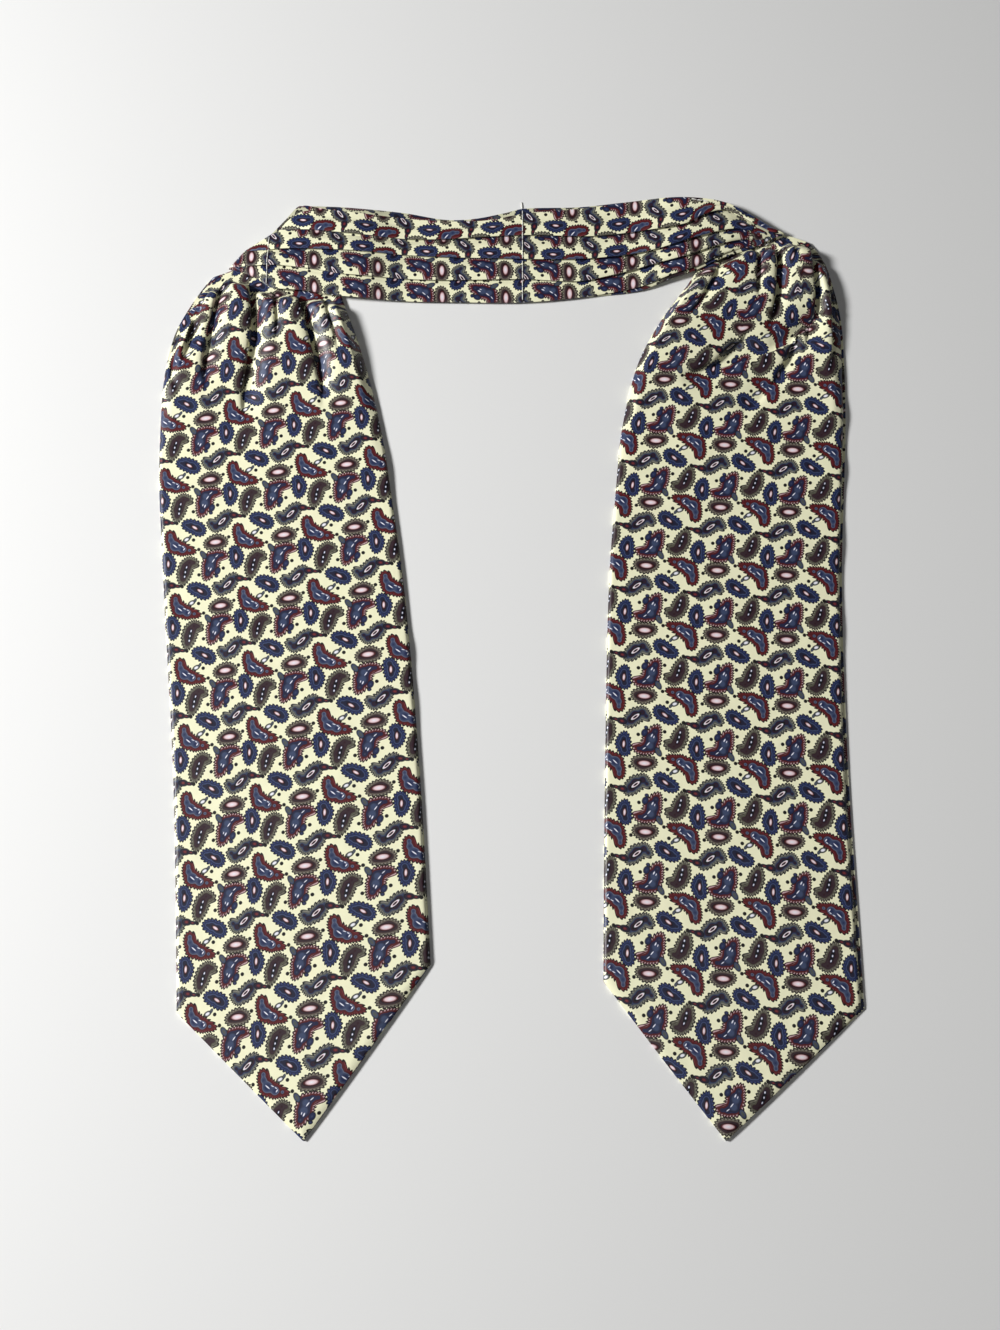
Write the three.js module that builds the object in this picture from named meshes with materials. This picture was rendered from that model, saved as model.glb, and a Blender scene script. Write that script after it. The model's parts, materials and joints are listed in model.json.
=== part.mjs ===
// A silk day cravat laid flat in a U: a pleated neckband across the top and two wide blades with V points.
// Millimetres. +Z is up from the surface it lies on, +Y runs from the points to the neckband, +X to the right.
// The cloth is a tube, so each blade has a front panel lying on a back panel. The neckband is four knife
// pleats on a back layer. The origin is the centre of the box at the surface.

import * as THREE from "three";

// Cloth
const CLOTH = 1.4; // thickness of a doubled silk wall with its turnings
const SEAM_GAP = 0.3; // clearance between pieces that lie on each other
const LAYER = CLOTH + SEAM_GAP;

// Blades: edges at stations down the length, then the V point
const GATHER_END = 112; // y where the last gathers have faded
const POINT_END = -284; // y past the points, where the straight edges would meet their last station

// shown is how far the back panel shows past the right edge of the front
const LEFT_BLADE = {
  edges: [
    { y: 244, left: -156, right: -110, shown: 0 },
    { y: 233, left: -167, right: -106.5, shown: 0 },
    { y: 224, left: -177.5, right: -103, shown: 0 },
    { y: 204, left: -190.5, right: -96.5, shown: 0 },
    { y: 185, left: -199, right: -89.5, shown: 0 },
    { y: 157, left: -203.5, right: -81, shown: 0 },
    { y: 123, left: -204, right: -73, shown: 0 },
    { y: 93, left: -203, right: -68, shown: 0 },
    { y: 26, left: -197, right: -58.5, shown: 0.3 },
    { y: -79, left: -186.5, right: -48.5, shown: 0.4 },
    { y: -183, left: -179.5, right: -41.5, shown: 0.5 },
    { y: POINT_END, left: -174.5, right: -35, shown: 0.5 },
  ],
  top: [
    { across: 0, y: 223 },
    { across: 0.25, y: 233 },
    { across: 0.6, y: 234 },
    { across: 1, y: 224 },
  ],
  leftShoulder: -211,
  rightShoulder: -185.5,
  tip: { x: -107.5, y: -277.5 },
};

const RIGHT_BLADE = {
  edges: [
    { y: 256, left: 140, right: 174, shown: 0 },
    { y: 249, left: 131, right: 184, shown: 0 },
    { y: 236, left: 121.5, right: 193.5, shown: 0 },
    { y: 220, left: 111.5, right: 198, shown: 0.4 },
    { y: 196, left: 94.5, right: 201.5, shown: 1 },
    { y: 167, left: 79.5, right: 201.5, shown: 1.6 },
    { y: 127, left: 69.5, right: 200, shown: 1.8 },
    { y: 93, left: 65.5, right: 197.5, shown: 1.8 },
    { y: 30, left: 60, right: 193, shown: 1.6 },
    { y: -79, left: 56, right: 190.5, shown: 2 },
    { y: -183, left: 53.5, right: 192, shown: 2 },
    { y: POINT_END, left: 52, right: 194.5, shown: 0.6 },
  ],
  top: [
    { across: 0, y: 238 },
    { across: 0.35, y: 249 },
    { across: 0.65, y: 252 },
    { across: 0.85, y: 250.5 },
    { across: 1, y: 246 },
  ],
  leftShoulder: -194.5,
  rightShoulder: -209,
  tip: { x: 117, y: -277.5 },
};

// Gathers: how far the cloth stands up between the troughs, and how that rises and fades down the blade
const PUFF = { left: 7.5, right: 8.5 };
const PUFF_RISE = 14; // length below the neckband over which the cloth swells
const PUFF_FADE = 52; // length over which it settles again
const EDGE_ROUND = 7; // width of the rolled side edges

// Where the cloth comes out from under the neckband, or rolls over at the blade's own free top
const LEFT_START = [
  { x: -180, y: 222 },
  { x: -168, y: 226.5 },
  { x: -160, y: 225.5 },
  { x: -148, y: 219 },
  { x: -142, y: 214.5 },
  { x: -124.5, y: 212.5 },
  { x: -98, y: 208.5 },
];

const RIGHT_START = [
  { x: 105, y: 223 },
  { x: 131, y: 235.5 },
  { x: 150, y: 243.5 },
  { x: 160, y: 245 },
  { x: 171, y: 252 },
  { x: 180, y: 251 },
  { x: 190, y: 245 },
  { x: 200, y: 232 },
];

// Each trough runs from its head to its foot; widths are half widths, share is the part of the puff it takes
const LEFT_TROUGHS = [
  { headX: -125.5, headY: 222, footX: -108, footY: 147, headWide: 3.6, footWide: 2.2, share: 1 },
  { headX: -149, headY: 224, footX: -153.5, footY: 148, headWide: 4.4, footWide: 4, share: 1 },
  { headX: -172, headY: 226, footX: -186.5, footY: 184, headWide: 5.2, footWide: 2.6, share: 1 },
  { headX: -167.5, headY: 178, footX: -172, footY: 138, headWide: 4, footWide: 3.6, share: 0.55 },
  { headX: -202, headY: 159, footX: -190, footY: 142, headWide: 2.6, footWide: 2.4, share: 0.8 },
];

const RIGHT_TROUGHS = [
  { headX: 166, headY: 252, footX: 162.5, footY: 206, headWide: 4.2, footWide: 3.2, share: 1 },
  { headX: 185.5, headY: 247, footX: 186.5, footY: 184, headWide: 4, footWide: 3, share: 1 },
  { headX: 149, headY: 248, footX: 141, footY: 199, headWide: 4, footWide: 4.4, share: 0.8 },
  { headX: 143, headY: 165, footX: 179, footY: 188, headWide: 3.4, footWide: 3, share: 0.6 },
  { headX: 128, headY: 236, footX: 112, footY: 190, headWide: 3.6, footWide: 3.6, share: 0.5 },
];

// Neckband lines, left to right: the back layer's edge, the first pleat's top, three pleat folds and the hem.
// Their left ends lie on the slanted fold at the left corner, and their right ends on the right tack.
const BACK_EDGE = [
  { x: -124.5, y: 271.5 },
  { x: -100, y: 271 },
  { x: -62, y: 267 },
  { x: -37, y: 262.5 },
  { x: -19.5, y: 263 },
  { x: 0, y: 267 },
  { x: 11.5, y: 270 },
  { x: 46, y: 271 },
  { x: 82, y: 275 },
  { x: 114, y: 275.5 },
  { x: 135, y: 273 },
  { x: 151, y: 265 },
  { x: 171.5, y: 256.5 },
];

const PLEAT_LINES = [
  [
    { x: -124.5, y: 270.5 },
    { x: -103.5, y: 266 },
    { x: -62.5, y: 262.3 },
    { x: -37, y: 260.5 },
    { x: -12, y: 261 },
    { x: 11, y: 265.5 },
    { x: 46, y: 269 },
    { x: 82, y: 274 },
    { x: 114, y: 274.8 },
    { x: 135, y: 272.3 },
    { x: 151, y: 264.3 },
    { x: 171, y: 256 },
  ],
  [
    { x: -140.5, y: 253.5 },
    { x: -125, y: 253.3 },
    { x: -99, y: 250.7 },
    { x: -62, y: 248 },
    { x: -37, y: 248 },
    { x: 11, y: 250.7 },
    { x: 53, y: 250 },
    { x: 81, y: 253 },
    { x: 109, y: 256.5 },
    { x: 122, y: 263 },
    { x: 134, y: 267 },
    { x: 151, y: 260 },
    { x: 168, y: 253.7 },
  ],
  [
    { x: -160, y: 239.5 },
    { x: -124, y: 240 },
    { x: -87, y: 238.6 },
    { x: -37, y: 236 },
    { x: -12, y: 235.3 },
    { x: 39, y: 234.6 },
    { x: 67, y: 236.6 },
    { x: 95, y: 241.3 },
    { x: 115, y: 247.5 },
    { x: 137, y: 253.5 },
    { x: 152, y: 254 },
    { x: 165, y: 251.3 },
  ],
  [
    { x: -168, y: 229.3 },
    { x: -138, y: 229 },
    { x: -113.5, y: 226 },
    { x: -99, y: 223.3 },
    { x: -74, y: 222 },
    { x: -37, y: 220.7 },
    { x: 11, y: 221.3 },
    { x: 45, y: 220 },
    { x: 67, y: 224.6 },
    { x: 87.5, y: 230 },
    { x: 109, y: 235.3 },
    { x: 131, y: 243 },
    { x: 148, y: 249 },
    { x: 162, y: 248.8 },
  ],
  [
    { x: -160.5, y: 226.8 },
    { x: -148, y: 220 },
    { x: -142.5, y: 215.4 },
    { x: -124.5, y: 213.4 },
    { x: -98, y: 209.4 },
    { x: -61.5, y: 207.5 },
    { x: -25, y: 206.8 },
    { x: 11, y: 206.8 },
    { x: 45, y: 210 },
    { x: 80.5, y: 216.5 },
    { x: 101, y: 224 },
    { x: 115, y: 228.6 },
    { x: 131, y: 236.6 },
    { x: 148, y: 244.5 },
    { x: 159, y: 246 },
  ],
];

// The band is lifted where it lies on the blades
const LIFT = { leftFull: -95, leftNone: -57, rightNone: 73, rightFull: 110 };
const BACK_INSET = 2.5; // the back layer stops this far inside the hem
const TUCKED_SHARE = 0.26; // how much of a pleat's shown width is tucked under the pleat above it
const TUCK_TAPER = 0.08; // share of the length over which the tuck runs out at the left end
const RAISED_FROM = 0.3; // share of a pleat's width, from its tucked edge, where it starts to rise
const RAISED_BY = 0.6; // share where it has risen over the pleat below

// How fine the walls are
const GATHER_ROWS = 20;
const LENGTH_ROWS = 9;
const FRONT_COLUMNS = 26;
const BACK_ROWS = 14;
const BACK_COLUMNS = 8;
const BAND_COLUMNS = 40;
const PLEAT_ROWS = 5;
const BACK_BAND_ROWS = 3;

const SILK = { color: 0xe9e4c4, roughness: 0.42, metalness: 0 };
const SILK_BACK = { color: 0xd8d2b4, roughness: 0.48, metalness: 0 };

function mix(a, b, share) {
  return a + (b - a) * share;
}

function smooth(from, to, value) {
  const t = THREE.MathUtils.clamp((value - from) / (to - from), 0, 1);
  return t * t * (3 - 2 * t);
}

// The slope of a column of a table at one row, from its neighbours
function slopeAt(rows, key, column, index) {
  const before = rows[Math.max(index - 1, 0)];
  const after = rows[Math.min(index + 1, rows.length - 1)];
  return (after[column] - before[column]) / (after[key] - before[key]);
}

// A smooth curve through one column of a table whose rows are in order of key, up or down
function along(rows, key, column, value) {
  const way = Math.sign(rows[1][key] - rows[0][key]);
  let index = 0;
  while (index < rows.length - 2 && way * (value - rows[index + 1][key]) > 0) {
    index += 1;
  }
  const low = rows[index];
  const high = rows[index + 1];
  const span = high[key] - low[key];
  const t = THREE.MathUtils.clamp((value - low[key]) / span, 0, 1);
  const start = slopeAt(rows, key, column, index) * span;
  const end = slopeAt(rows, key, column, index + 1) * span;
  const rise = high[column] - low[column];
  const a = start - rise;
  const b = rise - end;
  return mix(low[column], high[column], t) + t * (1 - t) * (a * (1 - t) + b * t);
}

// A closed wall of cloth: point(row, column) gives the upper face, and the lower face lies CLOTH below it
function wall(rows, columns, point) {
  const upper = [];
  const lower = [];
  for (let row = 0; row <= rows; row += 1) {
    for (let column = 0; column <= columns; column += 1) {
      const [x, y, z] = point(row, column);
      upper.push(x, y, z);
      lower.push(x, y, z - CLOTH);
    }
  }
  const width = columns + 1;
  const below = (rows + 1) * width;
  const faces = [];
  const quad = (a, b, c, d) => faces.push(a, b, c, a, c, d);
  for (let row = 0; row < rows; row += 1) {
    for (let column = 0; column < columns; column += 1) {
      const a = row * width + column;
      quad(a, a + width, a + width + 1, a + 1);
      quad(below + a, below + a + 1, below + a + width + 1, below + a + width);
    }
  }
  for (let column = 0; column < columns; column += 1) {
    const last = rows * width + column;
    quad(column, column + 1, below + column + 1, below + column);
    quad(last + 1, last, below + last, below + last + 1);
  }
  for (let row = 0; row < rows; row += 1) {
    const start = row * width;
    const end = start + columns;
    quad(start + width, start, below + start, below + start + width);
    quad(end, end + width, below + end + width, below + end);
  }
  const geometry = new THREE.BufferGeometry();
  geometry.setAttribute("position", new THREE.Float32BufferAttribute([...upper, ...lower], 3));
  geometry.setIndex(faces);
  return geometry;
}

function piece(name, geometry, finish) {
  const mesh = new THREE.Mesh(geometry, new THREE.MeshStandardMaterial(finish));
  mesh.name = name;
  return mesh;
}

// Blades

// The share across the blade where the tip stands
function tipShare(blade) {
  const left = along(blade.edges, "y", "left", blade.tip.y);
  const right = along(blade.edges, "y", "right", blade.tip.y);
  return (blade.tip.x - left) / (right - left);
}

// The y where a column, at its share across, meets the V
function pointEdge(blade, share) {
  const middle = tipShare(blade);
  if (share <= middle) {
    return mix(blade.leftShoulder, blade.tip.y, share / middle);
  }
  return mix(blade.tip.y, blade.rightShoulder, (share - middle) / (1 - middle));
}

// Shares across for a number of columns, with one of them on the tip
function columnShare(blade, column, columns) {
  const half = columns / 2;
  const middle = tipShare(blade);
  return column <= half ? (middle * column) / half : mix(middle, 1, (column - half) / half);
}

// The y of a row that is share across: rows are close together in the gathers and wider apart below
function rowY(blade, share, row, gatherRows, lengthRows) {
  if (row <= gatherRows) {
    return mix(along(blade.top, "across", "y", share), GATHER_END, row / gatherRows);
  }
  return mix(GATHER_END, pointEdge(blade, share), (row - gatherRows) / lengthRows);
}

function bladeX(blade, share, y, shown) {
  const left = along(blade.edges, "y", "left", y);
  const right = along(blade.edges, "y", "right", y) + shown * along(blade.edges, "y", "shown", y);
  return mix(left, right, share);
}

// How much of the puff one trough takes away at a place
function troughShare(trough, x, y) {
  const runX = trough.footX - trough.headX;
  const runY = trough.footY - trough.headY;
  const length = Math.hypot(runX, runY);
  const down = ((x - trough.headX) * runX + (y - trough.headY) * runY) / (length * length);
  const aside = ((x - trough.headX) * runY - (y - trough.headY) * runX) / length;
  const wide = mix(trough.headWide, trough.footWide, THREE.MathUtils.clamp(down, 0, 1));
  const ends = smooth(-0.12, 0.04, down) * (1 - smooth(0.7, 1.1, down));
  return trough.share * Math.exp(-((aside / wide) ** 2)) * ends;
}

// Height that the gathers add to the front panel
function gatherHeight(blade, troughs, start, puff, x, y) {
  const below = along(start, "x", "y", x) - y;
  const left = along(blade.edges, "y", "left", y);
  const right = along(blade.edges, "y", "right", y);
  const inFromEdge = Math.min(x - left, right - x);
  const swell = smooth(0, PUFF_RISE, below) * Math.exp(-((below / PUFF_FADE) ** 2));
  const rolled = smooth(0, EDGE_ROUND, inFromEdge);
  const taken = troughs.reduce((sum, trough) => sum + troughShare(trough, x, y), 0);
  return puff * swell * rolled * (1 - Math.min(taken, 1));
}

function frontPanel(blade, troughs, start, puff) {
  return wall(GATHER_ROWS + LENGTH_ROWS, FRONT_COLUMNS, (row, column) => {
    const share = columnShare(blade, column, FRONT_COLUMNS);
    const y = rowY(blade, share, row, GATHER_ROWS, LENGTH_ROWS);
    const x = bladeX(blade, share, y, 0);
    return [x, y, LAYER + CLOTH + gatherHeight(blade, troughs, start, puff, x, y)];
  });
}

function backPanel(blade) {
  return wall(BACK_ROWS, BACK_COLUMNS, (row, column) => {
    const share = columnShare(blade, column, BACK_COLUMNS);
    const y = rowY(blade, share, row, BACK_ROWS / 2, BACK_ROWS / 2);
    return [bladeX(blade, share, y, 1), y, CLOTH];
  });
}

// Neckband

// The point at a share of a line's own length
function linePoint(line, share) {
  const x = mix(line[0].x, line[line.length - 1].x, share);
  return [x, along(line, "x", "y", x)];
}

// Height of the surface that the neckband lies on: the table, or a blade's two panels
function bandBase(x) {
  const left = 1 - smooth(LIFT.leftFull, LIFT.leftNone, x);
  const right = smooth(LIFT.rightNone, LIFT.rightFull, x);
  return 2 * LAYER * (left + right);
}

// The distance between two lines at the same share of their lengths
function stripWidth(upper, lower, length) {
  const [highX, highY] = linePoint(upper, length);
  const [lowX, lowY] = linePoint(lower, length);
  return Math.hypot(lowX - highX, lowY - highY);
}

// A strip between two lines; tucked(length) is the share of its width that goes on past the upper line
function strip(upper, lower, rows, tucked, height) {
  return wall(rows, BAND_COLUMNS, (row, column) => {
    const length = column / BAND_COLUMNS;
    const [highX, highY] = linePoint(upper, length);
    const [lowX, lowY] = linePoint(lower, length);
    const across = mix(-tucked(length), 1, row / rows);
    const x = mix(highX, lowX, across);
    const y = mix(highY, lowY, across);
    return [x, y, bandBase(x) + CLOTH + height(row / rows)];
  });
}

function pleatPanel(pleat) {
  const [above, upper, lower] = [PLEAT_LINES[pleat - 2], PLEAT_LINES[pleat - 1], PLEAT_LINES[pleat]];
  const last = pleat === PLEAT_LINES.length - 1;
  const height = (share) => LAYER + (last ? 0 : LAYER * smooth(RAISED_FROM, RAISED_BY, share));
  const tucked = (length) => {
    if (!above) {
      return 0;
    }
    const shown = stripWidth(upper, lower, length);
    const cover = Math.min(shown, stripWidth(above, upper, length));
    return (TUCKED_SHARE * smooth(0, TUCK_TAPER, length) * cover) / shown;
  };
  return strip(upper, lower, PLEAT_ROWS, tucked, height);
}

function bandBack() {
  const hem = PLEAT_LINES[PLEAT_LINES.length - 1].map(({ x, y }) => ({ x, y: y + BACK_INSET }));
  return strip(BACK_EDGE, hem, BACK_BAND_ROWS, () => 0, () => 0);
}

const cravat = new THREE.Group();
cravat.add(
  piece("blade_left_back", backPanel(LEFT_BLADE), SILK_BACK),
  piece("blade_left_front", frontPanel(LEFT_BLADE, LEFT_TROUGHS, LEFT_START, PUFF.left), SILK),
  piece("blade_right_back", backPanel(RIGHT_BLADE), SILK_BACK),
  piece("blade_right_front", frontPanel(RIGHT_BLADE, RIGHT_TROUGHS, RIGHT_START, PUFF.right), SILK),
  piece("neckband_back", bandBack(), SILK_BACK),
);
for (let pleat = 1; pleat < PLEAT_LINES.length; pleat += 1) {
  cravat.add(piece(`neckband_pleat_${pleat}`, pleatPanel(pleat), SILK));
}

// The origin goes to the centre of the box, on the surface
const box = new THREE.Box3().setFromObject(cravat);
const centre = box.getCenter(new THREE.Vector3());
cravat.position.set(-centre.x, -centre.y, -box.min.z);

export default cravat;
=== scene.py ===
"""Silk day cravat laid flat in a U: a pleated neckband across the top and two wide blades with V points.

Each piece of cloth is a fine shell on the form of its solid, with its creases placed one by one. The print is
drawn by shader nodes from a chart of one repeat, and it follows the cloth through a UV map.
"""

import json
import math
from collections import namedtuple

import bpy
import numpy as np
from mathutils import Matrix, Vector
from mathutils.bvhtree import BVHTree

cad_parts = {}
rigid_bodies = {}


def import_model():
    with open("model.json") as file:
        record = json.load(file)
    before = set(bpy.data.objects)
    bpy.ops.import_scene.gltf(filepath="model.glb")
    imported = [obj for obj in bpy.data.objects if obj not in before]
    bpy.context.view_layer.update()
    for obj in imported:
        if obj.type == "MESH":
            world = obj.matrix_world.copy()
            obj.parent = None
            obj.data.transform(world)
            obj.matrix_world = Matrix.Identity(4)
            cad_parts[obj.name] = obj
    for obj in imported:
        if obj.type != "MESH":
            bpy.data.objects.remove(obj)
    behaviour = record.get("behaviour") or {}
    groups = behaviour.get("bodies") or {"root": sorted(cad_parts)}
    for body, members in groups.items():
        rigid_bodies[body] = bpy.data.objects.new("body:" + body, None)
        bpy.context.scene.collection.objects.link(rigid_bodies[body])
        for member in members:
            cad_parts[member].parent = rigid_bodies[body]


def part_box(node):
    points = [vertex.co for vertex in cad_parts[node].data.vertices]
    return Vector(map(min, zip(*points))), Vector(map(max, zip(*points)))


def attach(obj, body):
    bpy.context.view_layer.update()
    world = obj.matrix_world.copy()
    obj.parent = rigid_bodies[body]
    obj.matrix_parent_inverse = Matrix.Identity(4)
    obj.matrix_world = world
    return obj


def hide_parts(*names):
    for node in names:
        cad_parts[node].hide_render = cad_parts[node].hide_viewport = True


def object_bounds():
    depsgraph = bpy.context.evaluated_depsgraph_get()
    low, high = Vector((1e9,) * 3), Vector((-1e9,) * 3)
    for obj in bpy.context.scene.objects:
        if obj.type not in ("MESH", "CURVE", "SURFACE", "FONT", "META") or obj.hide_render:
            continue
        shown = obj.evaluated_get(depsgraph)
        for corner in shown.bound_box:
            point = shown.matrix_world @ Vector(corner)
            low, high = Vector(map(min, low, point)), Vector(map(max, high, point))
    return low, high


bl_info = {
    "name": "Silk Day Cravat",
    "version": (1, 0, 0),
    "blender": (4, 5, 0),
    "location": "View3D > Sidebar > Cravat",
    "description": "Builds the printed silk cravat around its packed solids",
    "category": "Object",
}

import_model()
CAD_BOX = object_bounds()
BODY = "root"
MM = 0.001

# The solids' walls, in millimetres
CLOTH = 1.4
LAYER = 1.7

# Rows of the tables below, in millimetres: a point of a line, a station down a blade with its two edges and
# how far the back panel shows past the right one, and a point of a blade's top by its share of the way across
Point = namedtuple("Point", "x y")
Edge = namedtuple("Edge", "y left right shown")
Top = namedtuple("Top", "across y")


def path(*places):
    """The points of a line that runs from left to right, each given as x and y."""
    return [Point(*place) for place in places]


# Blades: the stations down the length, then the V point
GATHER_END = 112
POINT_END = -284

LEFT_BLADE = {
    "edges": [
        Edge(244, -156, -110, 0),
        Edge(233, -167, -106.5, 0),
        Edge(224, -177.5, -103, 0),
        Edge(204, -190.5, -96.5, 0),
        Edge(185, -199, -89.5, 0),
        Edge(157, -203.5, -81, 0),
        Edge(123, -204, -73, 0),
        Edge(93, -203, -68, 0),
        Edge(26, -197, -58.5, 0.3),
        Edge(-79, -186.5, -48.5, 0.4),
        Edge(-183, -179.5, -41.5, 0.5),
        Edge(POINT_END, -174.5, -35, 0.5),
    ],
    "top": [
        Top(0, 223),
        Top(0.25, 233),
        Top(0.6, 234),
        Top(1, 224),
    ],
    "left_shoulder": -211,
    "right_shoulder": -185.5,
    "tip_x": -107.5,
    "tip_y": -277.5,
}

RIGHT_BLADE = {
    "edges": [
        Edge(256, 140, 174, 0),
        Edge(249, 131, 184, 0),
        Edge(236, 121.5, 193.5, 0),
        Edge(220, 111.5, 198, 0.4),
        Edge(196, 94.5, 201.5, 1),
        Edge(167, 79.5, 201.5, 1.6),
        Edge(127, 69.5, 200, 1.8),
        Edge(93, 65.5, 197.5, 1.8),
        Edge(30, 60, 193, 1.6),
        Edge(-79, 56, 190.5, 2),
        Edge(-183, 53.5, 192, 2),
        Edge(POINT_END, 52, 194.5, 0.6),
    ],
    "top": [
        Top(0, 238),
        Top(0.35, 249),
        Top(0.65, 252),
        Top(0.85, 250.5),
        Top(1, 246),
    ],
    "left_shoulder": -194.5,
    "right_shoulder": -209,
    "tip_x": 117,
    "tip_y": -277.5,
}

# Where the cloth comes out from under the neckband, or rolls over at the blade's own free top
LEFT_START = path(
    (-180, 222), (-168, 226.5), (-160, 225.5), (-148, 219), (-142, 214.5), (-124.5, 212.5), (-98, 208.5),
)

RIGHT_START = path(
    (105, 223), (131, 235.5), (150, 243.5), (160, 244.5), (171, 248), (180, 246.5), (190, 239), (200, 225),
)

# Gathers: how far the cloth stands up between its troughs, and how that rises and fades down the blade
Puff = namedtuple("Puff", "height fade")
LEFT_PUFF = Puff(7.8, 62)
RIGHT_PUFF = Puff(8.5, 72)
PUFF_RISE = 10
EDGE_ROUND = 7

# A crease follows the points of its path, each an x and a y, and fades at its foot. wide is its half width,
# depth how far it sinks, and lean how far the ridge beside it falls over it, to the right where it is
# positive. On the side that the ridge falls to, the cloth rises again more slowly
Crease = namedtuple("Crease", "path wide depth lean")
LEFT_CREASES = [
    Crease(
        [
            (-128, 228), (-127.4, 212), (-121.6, 197), (-117.2, 178.6), (-112.8, 162.5), (-109, 150),
            (-107.5, 134),
        ],
        1.7, 8.6, 3.2,
    ),
    Crease(
        [(-156, 230), (-155, 217), (-153, 201), (-152.4, 184), (-154.6, 168), (-155.5, 147), (-154, 124)],
        1.9, 8.2, 2.6,
    ),
    Crease([(-140, 228), (-139, 205), (-137, 188), (-136, 174)], 1.2, 3.6, 1.5),
    Crease([(-178, 223), (-184.5, 211), (-188.2, 196), (-191, 180), (-192.5, 160)], 2.0, 8.6, 2.2),
    Crease(
        [(-167, 228), (-172.6, 216), (-176, 203), (-179, 185.7), (-180.4, 170), (-178, 146)], 1.6, 7.8, 2.2
    ),
    Crease([(-178, 225), (-190.5, 205), (-197, 187), (-200.2, 174), (-199, 157), (-192, 143)], 1.1, 4.8, 1.2),
    Crease([(-182, 221), (-170, 224.5), (-160, 222), (-150, 215.5), (-142, 211)], 4.6, 7.4, 0),
    Crease([(-113, 222), (-107.5, 200), (-101.5, 182), (-97.5, 166)], 1.4, 2.6, 1.4),
]
RIGHT_CREASES = [
    Crease([(163, 256), (163, 241), (163.6, 230), (162.4, 212), (161, 199), (157, 184)], 1.6, 8.6, 2.6),
    Crease([(182, 256), (184.4, 236), (185.8, 213), (185.4, 196), (182, 184), (177, 168)], 1.6, 9.0, 3.0),
    Crease([(150.5, 250), (152, 233), (151.6, 220), (152.6, 204)], 1.2, 4.6, 1.6),
    Crease(
        [(184, 192), (170.3, 180.6), (161, 174.8), (147, 169.6), (134, 166.4), (119, 163)], 2.2, 5.6, -2.4
    ),
    Crease([(137, 178), (125.6, 166.4), (115.9, 161.3), (101, 156)], 2.4, 3.6, 1.4),
    Crease([(173, 177), (167.4, 167.7), (162.3, 160), (158, 147)], 1.8, 4.2, 1.8),
    Crease([(136, 242), (126, 222), (116, 204), (106, 190)], 1.4, 3.4, 1.6),
    Crease([(173, 256), (175.4, 240), (175, 228)], 1.2, 2.8, 1.2),
    Crease([(190, 250), (194.6, 230), (196, 205), (195.5, 178), (194, 150)], 1.1, 4.6, 1.4),
    Crease([(158, 152), (148, 140), (136, 133)], 2.6, 1.6, -0.8),
]
LEAN_FROM = 1.4  # where the ridge that leans begins, in half widths of its crease
LEAN_WIDE = 0.95
LEE_OPEN = 3.5  # how much wider a crease is on the side that its ridge falls to
CREASE_SHARP = 1.5  # power of a crease's section: lower for a sharper floor
LEAN_START = {"from": -2, "full": 6}  # how far below the cloth's start the ridges begin to lean
CREASE_FADE = 0.45  # share of a crease's length over which it fades at its foot
FRONT_LOWEST = 2.2  # a crease's floor stays clear of the back panel

# Broad soft waves across the blades: y of the crest, half length, height, and how far it slants across
Wave = namedtuple("Wave", "y long height slant")
LEFT_WAVES = [Wave(-2, 9, 0.9, -0.10), Wave(-36, 12, 0.5, -0.05), Wave(92, 14, 0.9, 0.15)]
RIGHT_WAVES = [
    Wave(118, 10, 1.1, 0.25),
    Wave(86, 9, 0.9, 0.2),
    Wave(48, 12, 0.7, 0.1),
    Wave(10, 12, 0.5, -0.1),
]

# Neckband lines, left to right: the back layer's edge, the first pleat's top, three pleat folds and the hem
BACK_EDGE = path(
    (-124.5, 271.5), (-100, 271), (-62, 267), (-37, 262.5), (-19.5, 263), (0, 267), (11.5, 270), (46, 271),
    (82, 275), (114, 275.5), (135, 272), (151, 263), (163, 255.5), (171.5, 251.5),
)
PLEAT_LINES = [
    path(
        (-124.5, 270.5), (-103.5, 266), (-62.5, 262.3), (-37, 260.5), (-12, 261), (11, 265.5), (46, 269),
        (82, 274), (114, 274.8), (135, 271.3), (151, 262.3), (162.5, 254.9), (171, 251),
    ),
    path(
        (-140.5, 253.5), (-125, 253.3), (-99, 250.7), (-62, 248), (-37, 248), (11, 250.7), (53, 250),
        (81, 253), (109, 256.5), (122, 263), (134, 265.5), (151, 257.5), (168, 249.5),
    ),
    path(
        (-160, 239.5), (-124, 240), (-87, 238.6), (-37, 236), (-12, 235.3), (39, 234.6), (67, 236.6),
        (95, 241.3), (115, 247.5), (137, 253), (152, 252), (165, 247.8),
    ),
    path(
        (-168, 229.3), (-138, 229), (-113.5, 226), (-99, 223.3), (-74, 222), (-37, 220.7), (11, 221.3),
        (45, 220), (67, 224.6), (87.5, 230), (109, 235.3), (131, 243), (148, 247), (162, 245.8),
    ),
    path(
        (-160.5, 226.8), (-148, 220), (-142.5, 215.4), (-124.5, 213.4), (-98, 209.4), (-61.5, 207.5),
        (-25, 206.8), (11, 206.8), (45, 210), (80.5, 216.5), (101, 224), (115, 228.6), (131, 236.6),
        (148, 242.5), (159, 243.5),
    ),
]
# x where the neckband's ends lie on the blades, and where its middle lies on the surface
LIFT = {"left_full": -95, "left_none": -57, "right_none": 73, "right_full": 110}
BACK_INSET = 2.5  # how far the back layer's lower edge keeps inside the hem
TUCKED_SHARE = 0.26  # how much of a pleat's width goes on under the fold above
TUCK_TAPER = 0.08  # share of the length from the left over which that tuck begins
# Shares of the way down a pleat between which it climbs on to the next one
RAISED_FROM = 0.3
RAISED_BY = 0.6

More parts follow.
